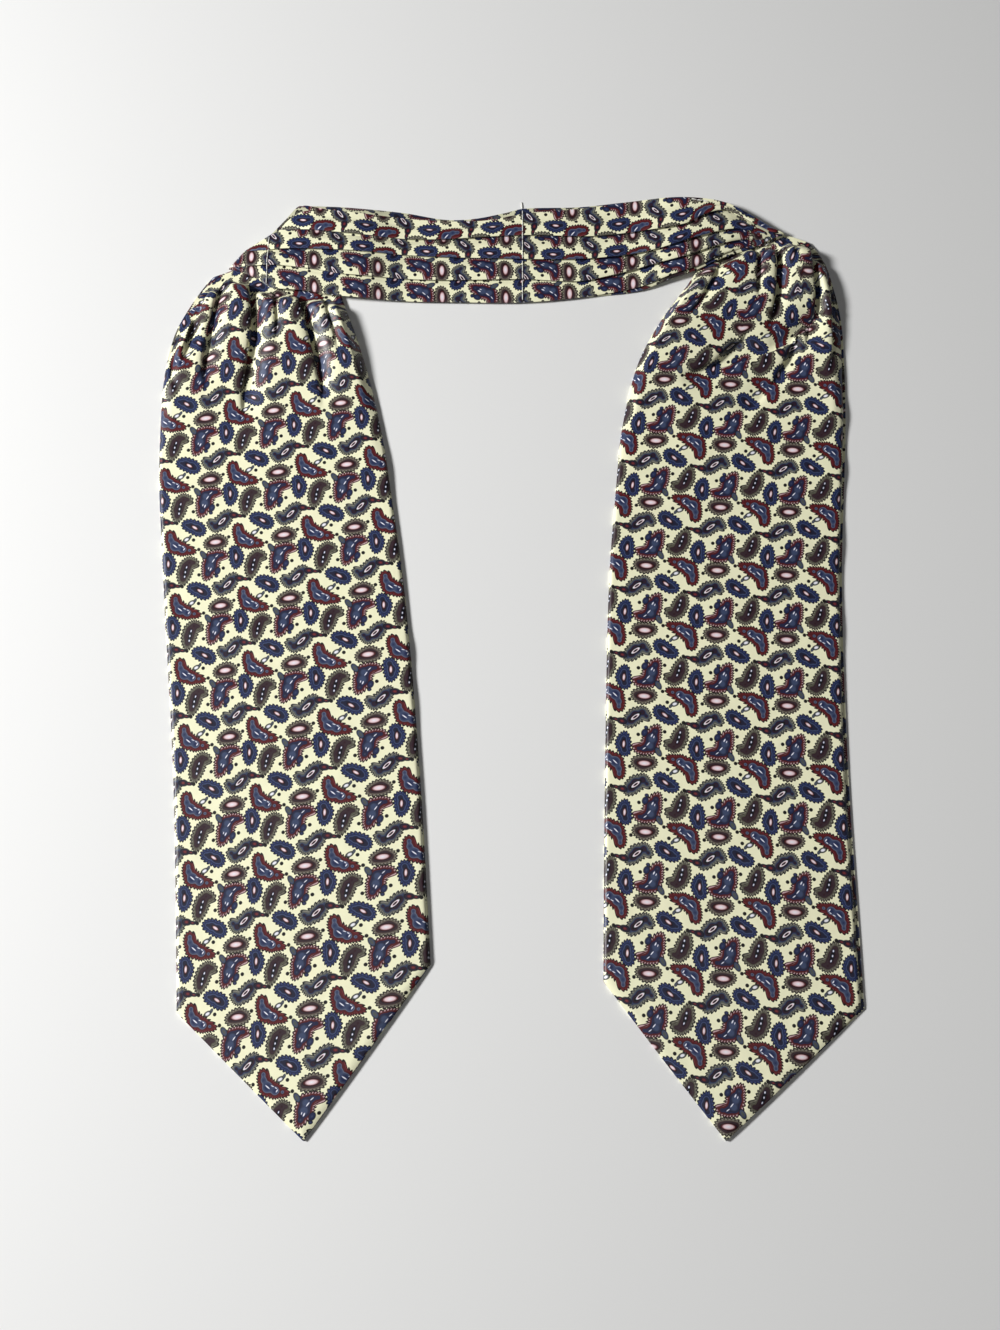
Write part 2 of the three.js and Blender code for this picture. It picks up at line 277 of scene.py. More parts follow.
# How fine the shells are
GATHER_ROWS = 130
LENGTH_ROWS = 90
FRONT_COLUMNS = 150
BACK_ROWS = 60
BACK_COLUMNS = 30
BAND_COLUMNS = 280
PLEAT_ROWS = 14
SMOOTH_ANGLE = 50  # edges sharper than this, in degrees, stay sharp

# The shells' own section
FRONT_SHELL = 0.6
BACK_SHELL = 1.0
PLEAT_SHELL = 0.5
FRONT_ROLL = 2.4  # width over which a front panel rolls down to its edge
FRONT_DROP = 1.4
FOLD_ROLL = 0.9  # the same at a pleat's lower fold
FOLD_DROP = 0.6
GROOVE = 1.1  # how far a pleat dips where it comes out from under the fold above
GROOVE_WIDE = 1.7
END_SETTLE = 0.09  # share of the neckband's length over which the pleats press together at its ends
END_LAYER = 0.35
END_ROLL = 5
LEFT_END_DROP = 3.2
RIGHT_END_DROP = 2.6
TOP_LIFT = 0.9
TOP_ROLL = 5.5  # the back layer's top edge curls down to the surface
HEM_SHOWN = {"from": 30, "full": 70, "to": 152, "out": 1.8}  # where the back layer shows below the last pleat

# The print's repeat, and where it lies on each piece of cloth
REPEAT_ACROSS = 40.5
REPEAT_ALONG = 38.5
LEFT_PRINT = {"across": 35.2, "along": 14.8, "tilt": -0.1145, "way": 1}
RIGHT_PRINT = {"across": -39.25, "along": -36.1, "tilt": -0.0697, "way": -1}
# fold is the print's place across at a pleat's lower fold, or at the back layer's top edge in the first row.
# origin is the x where the repeat starts along it
BAND_PRINT = [
    {"fold": -6.0, "origin": -113.5},
    {"fold": 17.5, "origin": -112.7},
    {"fold": 14.0, "origin": -114.4},
    {"fold": 5.8, "origin": -115.1},
    {"fold": 2.8, "origin": -114.8},
]


def smooth(low, high, values):
    t = np.clip((values - low) / (high - low), 0, 1)
    return t * t * (3 - 2 * t)


def along(rows, key, column, values):
    """A smooth curve through one column of a table whose rows are in order of key, up or down."""
    keys = np.array([getattr(row, key) for row in rows], float)
    heights = np.array([getattr(row, column) for row in rows], float)
    if keys[0] > keys[-1]:
        keys = keys[::-1]
        heights = heights[::-1]
    index = np.arange(len(keys))
    before = np.maximum(index - 1, 0)
    after = np.minimum(index + 1, len(keys) - 1)
    slopes = (heights[after] - heights[before]) / (keys[after] - keys[before])
    places = np.clip(values, keys[0], keys[-1])
    low = np.clip(np.searchsorted(keys, places, side="right") - 1, 0, len(keys) - 2)
    span = keys[low + 1] - keys[low]
    t = (places - keys[low]) / span
    rise = heights[low + 1] - heights[low]
    a = slopes[low] * span - rise
    b = rise - slopes[low + 1] * span
    return heights[low] + rise * t + t * (1 - t) * (a * (1 - t) + b * t)


def lerp(a, b, share):
    return a + (b - a) * share


def roll(inward, width, drop):
    """How far a cloth edge has rolled down, at a distance inward from it."""
    out = 1 - np.clip(inward / width, 0, 1)
    return drop * (1 - np.sqrt(np.maximum(1 - out * out, 0)))


def table_shift():
    """From the tables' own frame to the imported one: the left tip and the neckband's right end are in both."""
    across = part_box("neckband_back")[1].x / MM - BACK_EDGE[-1].x
    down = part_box("blade_left_front")[0].y / MM - LEFT_BLADE["tip_y"]
    return across, down


SHIFT_X, SHIFT_Y = table_shift()


# Blades


def side_edges(blade, y):
    return along(blade["edges"], "y", "left", y), along(blade["edges"], "y", "right", y)


def tip_share(blade):
    left, right = side_edges(blade, blade["tip_y"])
    return float((blade["tip_x"] - left) / (right - left))


def blade_grid(blade, gather_rows, length_rows, columns, shown):
    """The x and y of a panel's points, a row for each station down it."""
    middle = tip_share(blade)
    half = columns // 2
    to_middle = np.linspace(0, middle, half + 1)
    share = np.concatenate([to_middle, np.linspace(middle, 1, columns - half + 1)[1:]])
    top = along(blade["top"], "across", "y", share)
    to_left = lerp(blade["left_shoulder"], blade["tip_y"], share / middle)
    to_right = lerp(blade["tip_y"], blade["right_shoulder"], (share - middle) / (1 - middle))
    point = np.where(share <= middle, to_left, to_right)
    upper = [lerp(top, GATHER_END, row / gather_rows) for row in range(gather_rows)]
    lower = [lerp(GATHER_END, point, row / length_rows) for row in range(length_rows + 1)]
    y = np.array(upper + lower)
    left, right = side_edges(blade, y)
    return lerp(left, right + shown * along(blade["edges"], "y", "shown", y), share), y


def crease_place(crease, x, y):
    """How far each point lies to the right of a crease, how much of it is there, and its way to the right."""
    lengths = [math.dist(a, b) for a, b in zip(crease.path, crease.path[1:])]
    nearest = np.full(x.shape, 1e9)
    aside = np.zeros(x.shape)
    passed = np.zeros(x.shape)
    right_x = np.ones(x.shape)
    right_y = np.zeros(x.shape)
    before = 0
    for (ax, ay), (bx, by), length in zip(crease.path, crease.path[1:], lengths):
        run_x = (bx - ax) / length
        run_y = (by - ay) / length
        t = np.clip(((x - ax) * run_x + (y - ay) * run_y) / length, 0, 1)
        away = np.hypot(x - lerp(ax, bx, t), y - lerp(ay, by, t))
        closer = away < nearest
        side = (y - ay) * run_x - (x - ax) * run_y
        aside = np.where(closer, np.copysign(away, side), aside)
        passed = np.where(closer, (before + t * length) / sum(lengths), passed)
        right_x = np.where(closer, -run_y, right_x)
        right_y = np.where(closer, run_x, right_y)
        nearest = np.minimum(nearest, away)
        before += length
    return aside, 1 - smooth(1 - CREASE_FADE, 1, passed), right_x, right_y


def fold_creases(creases, start, x, y):
    """How far the creases sink the cloth, and where its points go as the ridges lean over them."""
    begun = smooth(LEAN_START["from"], LEAN_START["full"], along(start, "x", "y", x) - y)
    sunk = np.zeros(x.shape)
    leant_x = x.copy()
    leant_y = y.copy()
    for crease in creases:
        aside, here, right_x, right_y = crease_place(crease, x, y)
        across = aside / crease.wide
        opened = np.where(aside * crease.lean > 0, across / LEE_OPEN, across)
        sunk += crease.depth * here * np.exp(-np.abs(opened) ** CREASE_SHARP)
        ridge = (across + math.copysign(LEAN_FROM, crease.lean)) / LEAN_WIDE
        lean = crease.lean * here * begun * np.exp(-(ridge**2))
        leant_x += lean * right_x
        leant_y += lean * right_y
    return sunk, leant_x, leant_y


def edge_distance(blade, x, y):
    """How far a point lies inward from the side edges and from the V."""
    left, right = side_edges(blade, y)
    distance = np.minimum(x - left, right - x)
    for side in ("left", "right"):
        shoulder_y = blade[f"{side}_shoulder"]
        shoulder_x = float(along(blade["edges"], "y", side, shoulder_y))
        run_x = blade["tip_x"] - shoulder_x
        run_y = blade["tip_y"] - shoulder_y
        inward = (x - shoulder_x) * run_y - (y - shoulder_y) * run_x
        distance = np.minimum(distance, abs(inward) / math.hypot(run_x, run_y))
    return distance


def gather_height(blade, start, puff, x, y):
    """How far the cloth stands up between its troughs below the neckband."""
    below = along(start, "x", "y", x) - y
    left, right = side_edges(blade, y)
    swell = smooth(0, PUFF_RISE, below) * np.exp(-((below / puff.fade) ** 2))
    rolled = smooth(0, EDGE_ROUND, np.minimum(x - left, right - x))
    return puff.height * swell * rolled


def wave_height(blade, waves, x, y):
    left, right = side_edges(blade, y)
    height = np.zeros(x.shape)
    for wave in waves:
        past = (y - wave.y - wave.slant * (x - (left + right) / 2)) / wave.long
        height += wave.height * np.exp(-(past**2))
    return height


def surface_print(x, y, z, place, row):
    """The print's place at each point: distances over the cloth from its middle column and from a row."""
    points = np.stack([x, y, z], -1)
    steps = np.hypot(np.diff(x, axis=1), np.diff(z, axis=1))
    across = np.concatenate([np.zeros((len(x), 1)), np.cumsum(steps, axis=1)], axis=1)
    middle = x.shape[1] // 2
    across = across - across[:, middle : middle + 1]
    climbs = np.linalg.norm(np.diff(points, axis=0), axis=-1)
    down = np.concatenate([np.zeros((1, x.shape[1])), np.cumsum(climbs, axis=0)], axis=0)
    up = down[row] - down
    start = place["along"] + place["tilt"] * (x[row] - x[row, middle])
    return place["across"] + place["way"] * across, start + place["way"] * up


# Sheets


def cloth_sheet(name, x, y, z, p, q, shell, material, material_slot):
    """A shell from a grid of points in the tables' millimetres, with p and q its print's place."""
    rows, columns = x.shape
    corners = np.stack([(x + SHIFT_X) * MM, (y + SHIFT_Y) * MM, z * MM], -1).reshape(-1, 3)
    first = (np.arange(rows - 1)[:, None] * columns + np.arange(columns - 1)[None, :]).reshape(-1)
    faces = np.stack([first, first + columns, first + columns + 1, first + 1], -1)
    mesh = bpy.data.meshes.new(f"silk_{name}")
    mesh.from_pydata(corners.tolist(), [], faces.tolist())
    places = np.stack([p / REPEAT_ACROSS, q / REPEAT_ALONG], -1).reshape(-1, 2)
    layer = mesh.uv_layers.new(name="print")
    layer.data.foreach_set("uv", places[faces.reshape(-1)].astype(np.float32).reshape(-1))
    sheet = bpy.data.objects.new(mesh.name, mesh)
    bpy.context.scene.collection.objects.link(sheet)
    mesh.materials.append(material)
    thicken = sheet.modifiers.new("thickness", "SOLIDIFY")
    thicken.thickness = shell * MM
    thicken.offset = -1
    bpy.ops.object.select_all(action="DESELECT")
    bpy.context.view_layer.objects.active = sheet
    sheet.select_set(True)
    bpy.ops.object.modifier_apply(modifier=thicken.name)
    bpy.ops.object.shade_smooth_by_angle(angle=math.radians(SMOOTH_ANGLE))
    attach(sheet, BODY)
    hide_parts(name)
    return sheet


def front_grid(blade, creases, waves, start, puff, place):
    x, y = blade_grid(blade, GATHER_ROWS, LENGTH_ROWS, FRONT_COLUMNS, 0)
    raised = LAYER + CLOTH + gather_height(blade, start, puff, x, y) + wave_height(blade, waves, x, y)
    sunk, leant_x, leant_y = fold_creases(creases, start, x, y)
    z = np.maximum(raised - sunk, FRONT_LOWEST) - roll(edge_distance(blade, x, y), FRONT_ROLL, FRONT_DROP)
    p, q = surface_print(leant_x, y, z, place, GATHER_ROWS)
    return leant_x, leant_y, z, p, q


def front_panel(name, *shape):
    return cloth_sheet(name, *front_grid(*shape), FRONT_SHELL, silk_material(), "printed_silk")


def back_panel(name, blade, place):
    x, y = blade_grid(blade, BACK_ROWS // 2, BACK_ROWS // 2, BACK_COLUMNS, 1)
    z = np.full(x.shape, BACK_SHELL)
    p, q = surface_print(x, y, z, place, BACK_ROWS // 2)
    return cloth_sheet(name, x, y, z, -p, q, BACK_SHELL, silk_back_material(), "printed_silk_back")


# Neckband


def line_points(line, share):
    x = lerp(line[0].x, line[-1].x, share)
    return x, along(line, "x", "y", x)


def band_base(x):
    left = 1 - smooth(LIFT["left_full"], LIFT["left_none"], x)
    right = smooth(LIFT["right_none"], LIFT["right_full"], x)
    return 2 * LAYER * (left + right)


def strip_width(upper, lower, share):
    high_x, high_y = line_points(upper, share)
    low_x, low_y = line_points(lower, share)
    return np.hypot(low_x - high_x, low_y - high_y)


def strip_grid(upper, lower, rows, tucked):
    """Points from one line to the next, their share of the way down, and the strip's width."""
    share = np.linspace(0, 1, BAND_COLUMNS + 1)
    high_x, high_y = line_points(upper, share)
    low_x, low_y = line_points(lower, share)
    down = np.linspace(0, 1, rows + 1)[:, None]
    across = lerp(-tucked, 1, down)
    width = strip_width(upper, lower, share)
    return lerp(high_x, low_x, across), lerp(high_y, low_y, across), across, width, down


def band_print(strip, x, to_fold):
    place = BAND_PRINT[strip]
    return place["fold"] - to_fold, x - place["origin"]


def pleat_panel(pleat):
    upper = PLEAT_LINES[pleat - 1]
    lower = PLEAT_LINES[pleat]
    last = pleat == len(PLEAT_LINES) - 1
    share = np.linspace(0, 1, BAND_COLUMNS + 1)
    tucked = np.zeros(share.shape)
    if pleat > 1:
        shown = strip_width(upper, lower, share)
        cover = np.minimum(shown, strip_width(PLEAT_LINES[pleat - 2], upper, share))
        tucked = TUCKED_SHARE * smooth(0, TUCK_TAPER, share) * cover / shown
    x, y, across, width, down = strip_grid(upper, lower, PLEAT_ROWS, tucked)
    raised = 0 if last else LAYER * smooth(RAISED_FROM, RAISED_BY, down)
    to_fold = (1 - across) * width
    settled = smooth(0, END_SETTLE, share) * (1 - smooth(1 - END_SETTLE, 1, share))
    low = END_LAYER * (len(PLEAT_LINES) - pleat)
    height = low + (CLOTH + LAYER + raised - low) * settled - roll(to_fold, FOLD_ROLL, FOLD_DROP)
    z = band_base(x) + CLOTH / 2 + height - CLOTH / 2 * settled
    if pleat > 1:
        z = z - GROOVE * settled * np.exp(-((across * width / GROOVE_WIDE) ** 2))
    length = lower[-1].x - lower[0].x
    z = z - roll(share * length, END_ROLL, LEFT_END_DROP)
    z = z - roll((1 - share) * length, END_ROLL, RIGHT_END_DROP)
    p, q = band_print(pleat, x, y - along(lower, "x", "y", x))
    name = f"neckband_pleat_{pleat}"
    return cloth_sheet(name, x, y, z, p, q, PLEAT_SHELL, silk_material(), "printed_silk")


def band_back():
    hem = []
    for row in PLEAT_LINES[-1]:
        out = smooth(HEM_SHOWN["from"], HEM_SHOWN["full"], row.x) * (row.x < HEM_SHOWN["to"])
        hem.append(Point(row.x, row.y + lerp(BACK_INSET, -HEM_SHOWN["out"], out)))
    x, y, across, width, _ = strip_grid(BACK_EDGE, hem, PLEAT_ROWS * 2, 0)
    flat = band_base(x) + CLOTH
    from_top = across * width
    lifted = flat + TOP_LIFT * np.exp(-((from_top / TOP_ROLL - 1) ** 2))
    z = lifted - roll(from_top, TOP_ROLL, flat - BACK_SHELL)
    p, q = band_print(0, x, along(BACK_EDGE, "x", "y", x) - y)
    # The whole back layer takes the darker copy of the silk, painted shade meant for its turned top strip
    material = silk_painted_shade_material()
    return cloth_sheet("neckband_back", x, y, z, p, q, BACK_SHELL, material, "printed_silk_back")


# Tack stitches: each row runs across the pleats from one point to another

Tack = namedtuple("Tack", "name from_x from_y to_x to_y stitches")
TACKS = [
    Tack("tack_left", -143.4, 251.5, -144, 217.6, 8),
    Tack("tack_centre", 10.8, 270.4, 10.6, 208, 14),
    Tack("tack_right", 170.4, 250.8, 158.6, 244, 4),
    Tack("tack_right_loop", 114, 273.6, 124.5, 271.6, 3),
]
LOOSE_END = Tack("tack_loose_end", 10.7, 270, 10.2, 275.4, 1)
THREAD = 0.5
THREAD_SIDES = 8
STITCH_FILL = 0.93  # share of its spacing that a stitch covers

# A stitch 1 long, from one end: how far each step goes along and up, and how the section grows
StitchStep = namedtuple("StitchStep", "along up size")
STITCH_STEPS = [
    StitchStep(0.06, 0.30, 1.5),
    StitchStep(0.12, 0.20, 1.2),
    StitchStep(0.32, 0.06, 1.0),
    StitchStep(0.32, -0.06, 1.0),
    StitchStep(0.12, -0.20, 0.83),
    StitchStep(0.06, -0.30, 0.67),
]
STITCH_SUNK = 0.3


def model_stitch():
    """One stitch that comes out of the cloth, runs along and goes in again, with a length of 1 along X."""
    bpy.ops.object.select_all(action="DESELECT")
    bpy.ops.mesh.primitive_circle_add(
        vertices=THREAD_SIDES,
        radius=THREAD / 3,
        fill_type="NGON",
        location=(0, 0, -STITCH_SUNK),
        rotation=(0, math.pi / 2, 0),
    )
    stitch = bpy.context.active_object
    bpy.ops.object.transform_apply(location=True, rotation=True, scale=True)
    bpy.ops.object.mode_set(mode="EDIT")
    bpy.ops.mesh.select_all(action="SELECT")
    for step in STITCH_STEPS:
        bpy.ops.mesh.extrude_region_move(TRANSFORM_OT_translate={"value": (step.along, 0, step.up)})
        bpy.ops.transform.resize(value=(1, step.size, step.size))
    bpy.ops.mesh.select_all(action="SELECT")
    bpy.ops.mesh.normals_make_consistent(inside=False)
    bpy.ops.object.mode_set(mode="OBJECT")
    return stitch


def cloth_top(trees, x, y):
    """The height of the uppermost cloth at a place, all in metres."""
    hits = (tree.ray_cast((x, y, 1), (0, 0, -1)) for tree in trees)
    return max((hit[0].z for hit in hits if hit[0]), default=0)


def tack_row(tack, stitch, trees):
    """A row of stitches that lie on the cloth, each a copy of the same one."""
    copies = []
    for number in range(tack.stitches):
        ends = []
        for share in (0.5 - STITCH_FILL / 2, 0.5 + STITCH_FILL / 2):
            done = (number + share) / tack.stitches
            x = (lerp(tack.from_x, tack.to_x, done) + SHIFT_X) * MM
            y = (lerp(tack.from_y, tack.to_y, done) + SHIFT_Y) * MM
            ends.append(Vector((x, y, cloth_top(trees, x, y) + THREAD / 2 * MM)))
        run = ends[1] - ends[0]
        turn = run.to_track_quat("X", "Z").to_matrix().to_4x4()
        copy = stitch.copy()
        copy.data = stitch.data.copy()
        copy.data.transform(Matrix.Translation(ends[0]) @ turn @ Matrix.Diagonal((run.length, MM, MM, 1)))
        bpy.context.scene.collection.objects.link(copy)
        copies.append(copy)
    bpy.ops.object.select_all(action="DESELECT")
    for copy in copies:
        copy.select_set(True)
    row = copies[0]
    bpy.context.view_layer.objects.active = row
    if len(copies) > 1:
        bpy.ops.object.join()
    row.name = tack.name
    row.data.name = tack.name
    row.data.materials.append(thread_material())
    bpy.ops.object.shade_smooth()
    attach(row, BODY)
    return row


# The print: inks, then one repeat of motifs


def ink(red, green, blue):
    """A colour given as its shade on a screen, from 0 to 255, turned to the linear one that shaders use."""
    shades = np.array([red, green, blue]) / 255
    linear = np.where(shades <= 0.04045, shades / 12.92, ((shades + 0.055) / 1.055) ** 2.4)
    return tuple(float(shade) for shade in linear)


INKS = {
    "ground": ink(250, 248, 211),
    "outline": ink(12, 8, 12),
    "maroon": ink(81, 17, 23),
    "wine": ink(48, 21, 32),
    "rose": ink(124, 47, 52),
    "navy": ink(27, 27, 51),
    "dusk": ink(8, 11, 32),
    "blue": ink(30, 38, 76),
    "slate": ink(60, 72, 102),
    "haze": ink(102, 106, 128),
    "grey": ink(79, 83, 81),
    "olive": ink(79, 76, 64),
    "moss": ink(16, 14, 11),
    "brown": ink(53, 37, 43),
    "taupe": ink(88, 79, 70),
    "ash": ink(145, 141, 128),
    "sky": ink(61, 76, 122),
    "pink": ink(232, 200, 204),
    "thread": ink(244, 243, 238),
    "thread painted shade": ink(214, 212, 204),
    "white": ink(238, 238, 246),
}

# A stop of a ramp: its place, its ink and how much it covers
Stop = namedtuple("Stop", "at ink cover", defaults=[1])

# The scalloped rims, by depth in from the outline in millimetres: the outline's ink, then the rim's
RIM_INKS = {
    "taupe": ("moss", "taupe"),
    "blue": ("dusk", "blue"),
    "maroon": ("outline", "maroon"),
    "beaded": ("outline", "maroon"),
    "olive": ("moss", "olive"),
    "moss": ("moss", "grey"),
}


def fade_in(at, ink_name, *inner):
    """Stops that begin at a depth over FIELD_FADE, then pass through the inner ones."""
    return [Stop(at, ink_name, 0), Stop(at + FIELD_FADE, ink_name), *(Stop(*stop) for stop in inner)]


# The smooth fields inside the rims, by the same depth
FIELD_FADE = 0.15
FIELDS = {
    "taupe": fade_in(1.55, "wine", (2.1, "brown"), (2.6, "brown")),
    "blue": fade_in(1.45, "dusk", (1.85, "sky"), (2.05, "slate"), (2.4, "navy")),
    "maroon": fade_in(1.75, "wine", (2.15, "haze"), (2.4, "slate"), (3.6, "blue")),
    "beaded": fade_in(1.75, "wine", (2.2, "blue"), (2.6, "navy"), (3.7, "slate")),
    "olive": fade_in(1.6, "wine", (2.1, "brown"), (2.7, "brown"), (3.0, "wine")),
    "moss": fade_in(1.55, "slate", (2.1, "navy"), (2.7, "wine"), (3.2, "navy")),
}

# The light bead in each scallop, by depth in from the outline. Only the stops' cover is used
BEAD_BAND = [Stop(0.75, "white", 0), Stop(0.95, "white"), Stop(1.4, "white"), Stop(1.7, "white", 0)]
BEADS = {"taupe": "ash", "blue": "sky", "maroon": "rose", "beaded": "pink", "olive": "ash", "moss": "ash"}
BEAD_COVER = 0.75
# Power of each bead's section, higher for a narrower bead
BEAD_ROUND = {"taupe": 2, "blue": 2, "maroon": 3, "beaded": 5, "olive": 2, "moss": 2}


def edged(*stops, end=1.05):
    """Stops from the middle out, of which the last one's ink fades away at the end."""
    return [*(Stop(*stop) for stop in stops), Stop(end, stops[-1][1], 0)]


# The smooth ovals inside the motifs, and the leaves and dots beside them, by share of the way out
HEARTS = {
    "pink seed": edged((0, "white"), (0.5, "pink"), (0.72, "maroon"), (0.95, "outline")),
    "slit": edged((0, "white"), (0.4, "pink"), (0.62, "maroon"), (0.8, "outline")),
    "stroke": [Stop(0.4, "white"), Stop(0.7, "sky"), Stop(1.0, "navy", 0)],
    "bed": edged((0, "outline"), (0.8, "outline")),
    "ring": edged((0.3, "outline"), (0.42, "pink"), (0.6, "white"), (0.72, "outline"), (0.95, "outline")),
    "grey leaf": edged((0.35, "white"), (0.6, "grey"), (0.9, "moss")),
    "slate leaf": edged((0.3, "grey"), (0.6, "slate"), (0.85, "moss")),
    "blue leaf": edged((0, "slate"), (0.4, "blue"), (0.65, "blue"), (0.85, "outline")),
    "wine leaf": edged((0.1, "rose"), (0.4, "wine"), (0.65, "navy"), (0.85, "outline")),
    "dot": edged((0, "moss"), (0.8, "outline"), end=1.0),
}

# An outline is several balls of radius r run together. They and the hearts are placed from the motif's
# middle, p across and q along the repeat. A heart has a turn in degrees, a half length and a half width
Ball = namedtuple("Ball", "p q r")
Heart = namedtuple("Heart", "p q turn long wide look")

# A motif: its middle, how its scallops turn and stretch, how many it has, its rim, its outline and its hearts
Motif = namedtuple("Motif", "p q turn long scallops rim balls hearts")
MOTIFS = [
    Motif(
        0, 0, 2, 1.5, 20, "taupe",
        [Ball(-4.3, -1.0, 3.0), Ball(-1.7, -0.4, 4.0), Ball(1.1, 0.1, 4.6), Ball(4.0, -0.5, 3.1)],
        [Heart(-0.2, -0.1, 1, 4.9, 2.1, "pink seed")],
    ),
    Motif(
        11.4, -10.3, 88, 1.5, 19, "blue",
        [Ball(-0.6, 3.5, 3.5), Ball(0.2, 0, 4.3), Ball(-0.3, -3.1, 3.4), Ball(-1.0, -5.9, 1.2)],
        [Heart(-0.2, 0, 85, 3.3, 1.25, "slit")],
    ),
    Motif(
        -11.9, -28.5, -28, 1.5, 19, "blue",
        [Ball(-4.6, 2.2, 2.8), Ball(-1.9, 1.3, 4.0), Ball(1.5, -0.6, 4.3), Ball(3.4, -2.1, 3.3)],
        [Heart(0.2, 0, -37, 3.1, 1.25, "slit")],
    ),
    Motif(
        -22.1, -38.8, -40, 1.7, 27, "maroon",
        [
            Ball(-4.5, 7.2, 3.1),
            Ball(-4.4, 4.2, 3.6),
            Ball(-2.4, 0.3, 4.9),
            Ball(1.9, -2.0, 4.2),
            Ball(6.1, -3.1, 2.8),
            Ball(8.5, -4.0, 1.4),
        ],
        [
            Heart(-2.3, 0.4, -43, 2.7, 0.55, "stroke"),
            Heart(0.5, 0.6, -25, 1.6, 0.4, "stroke"),
            Heart(2.9, -2.1, 55, 1.5, 0.55, "stroke"),
            Heart(2.4, -0.6, -35, 1.2, 0.4, "stroke"),
        ],
    ),
    Motif(
        -3.8, -13.8, 52, 1.7, 27, "beaded",
        [
            Ball(-4.1, -7.6, 1.2),
            Ball(-2.6, -4.9, 3.5),
            Ball(-0.7, -0.6, 5.2),
            Ball(0.4, 3.6, 4.9),
            Ball(3.8, 5.4, 3.5),
            Ball(6.8, 5.5, 2.9),
            Ball(8.8, 4.3, 1.6),
        ],
        [
            Heart(1.4, 2.6, 50, 2.2, 0.5, "stroke"),
            Heart(3.6, 5.2, 38, 1.8, 0.4, "stroke"),
            Heart(-0.6, -2.4, 62, 1.7, 0.6, "stroke"),
            Heart(-1.8, -1.6, 70, 1.2, 0.4, "stroke"),
        ],
    ),
    Motif(
        -19.1, -15.5, 68, 1.7, 24, "olive",
        [
            Ball(-2.8, -7.6, 1.1),
            Ball(-2.2, -4.8, 3.2),
            Ball(-1.1, -1.2, 4.5),
            Ball(0.4, 2.3, 4.4),
            Ball(2.5, 4.8, 3.4),
            Ball(5.1, 4.4, 2.4),
            Ball(6.4, 3.0, 1.3),
        ],
        [
            Heart(-0.4, -0.7, 74, 4.4, 1.25, "bed"),
            Heart(0.5, 2.0, 66, 1.1, 0.55, "stroke"),
            Heart(-0.5, -0.8, 78, 1.0, 0.6, "stroke"),
            Heart(-1.1, -3.5, 78, 1.0, 0.65, "stroke"),
        ],
    ),
    Motif(
        4.1, -26.6, 34, 1.8, 24, "moss",
        [
            Ball(-5.6, -0.4, 2.8),
            Ball(-3.3, -2.6, 3.5),
            Ball(0.5, -0.5, 4.4),
            Ball(3.1, 2.2, 4.1),
            Ball(5.2, 4.9, 1.9),
        ],
        [Heart(0.7, 0.3, 39, 4.3, 1.35, "ring")],
    ),
]

# Leaves and buds that lie beside the motifs
LEAVES = [
    Heart(-17.2, -35.2, 24, 2.6, 1.5, "grey leaf"),
    Heart(-14.9, -33.8, 60, 1.4, 0.9, "slate leaf"),
    Heart(-8.0, -7.1, -60, 3.2, 1.8, "slate leaf"),
    Heart(-0.4, -17.6, 62, 2.6, 1.9, "blue leaf"),
    Heart(-1.3, -20.6, 0, 1.3, 1.1, "blue leaf"),
    Heart(12.2, -23.4, -14, 3.2, 2.1, "wine leaf"),
    Heart(15.6, -24.2, -14, 2.4, 1.2, "wine leaf"),
]
Dot = namedtuple("Dot", "p q")
DOTS = [
    Dot(-13.1, -35.9),
    Dot(7.9, 2.2),
    Dot(3.1, -16.3),
    Dot(-10.5, -3.5),
    Dot(-11.6, -18.8),
    Dot(18.4, -24.8),
]
DOT_SIZE = 1.15
BLEND = 3.2  # width over which neighbouring balls run together
SCALLOP = 0.9  # depth of a scallop
VALLEY = 0.4  # how far the valleys between scallops lie inside the balls
RIM_REACH = 4.0  # depth that a rim's ramp covers
RIM_OUTSIDE = 0.2
GROUND_SHADE = 0.93  # the darker of the ground's two shades, as a share of the lighter one
HEART_REACH = 1.2


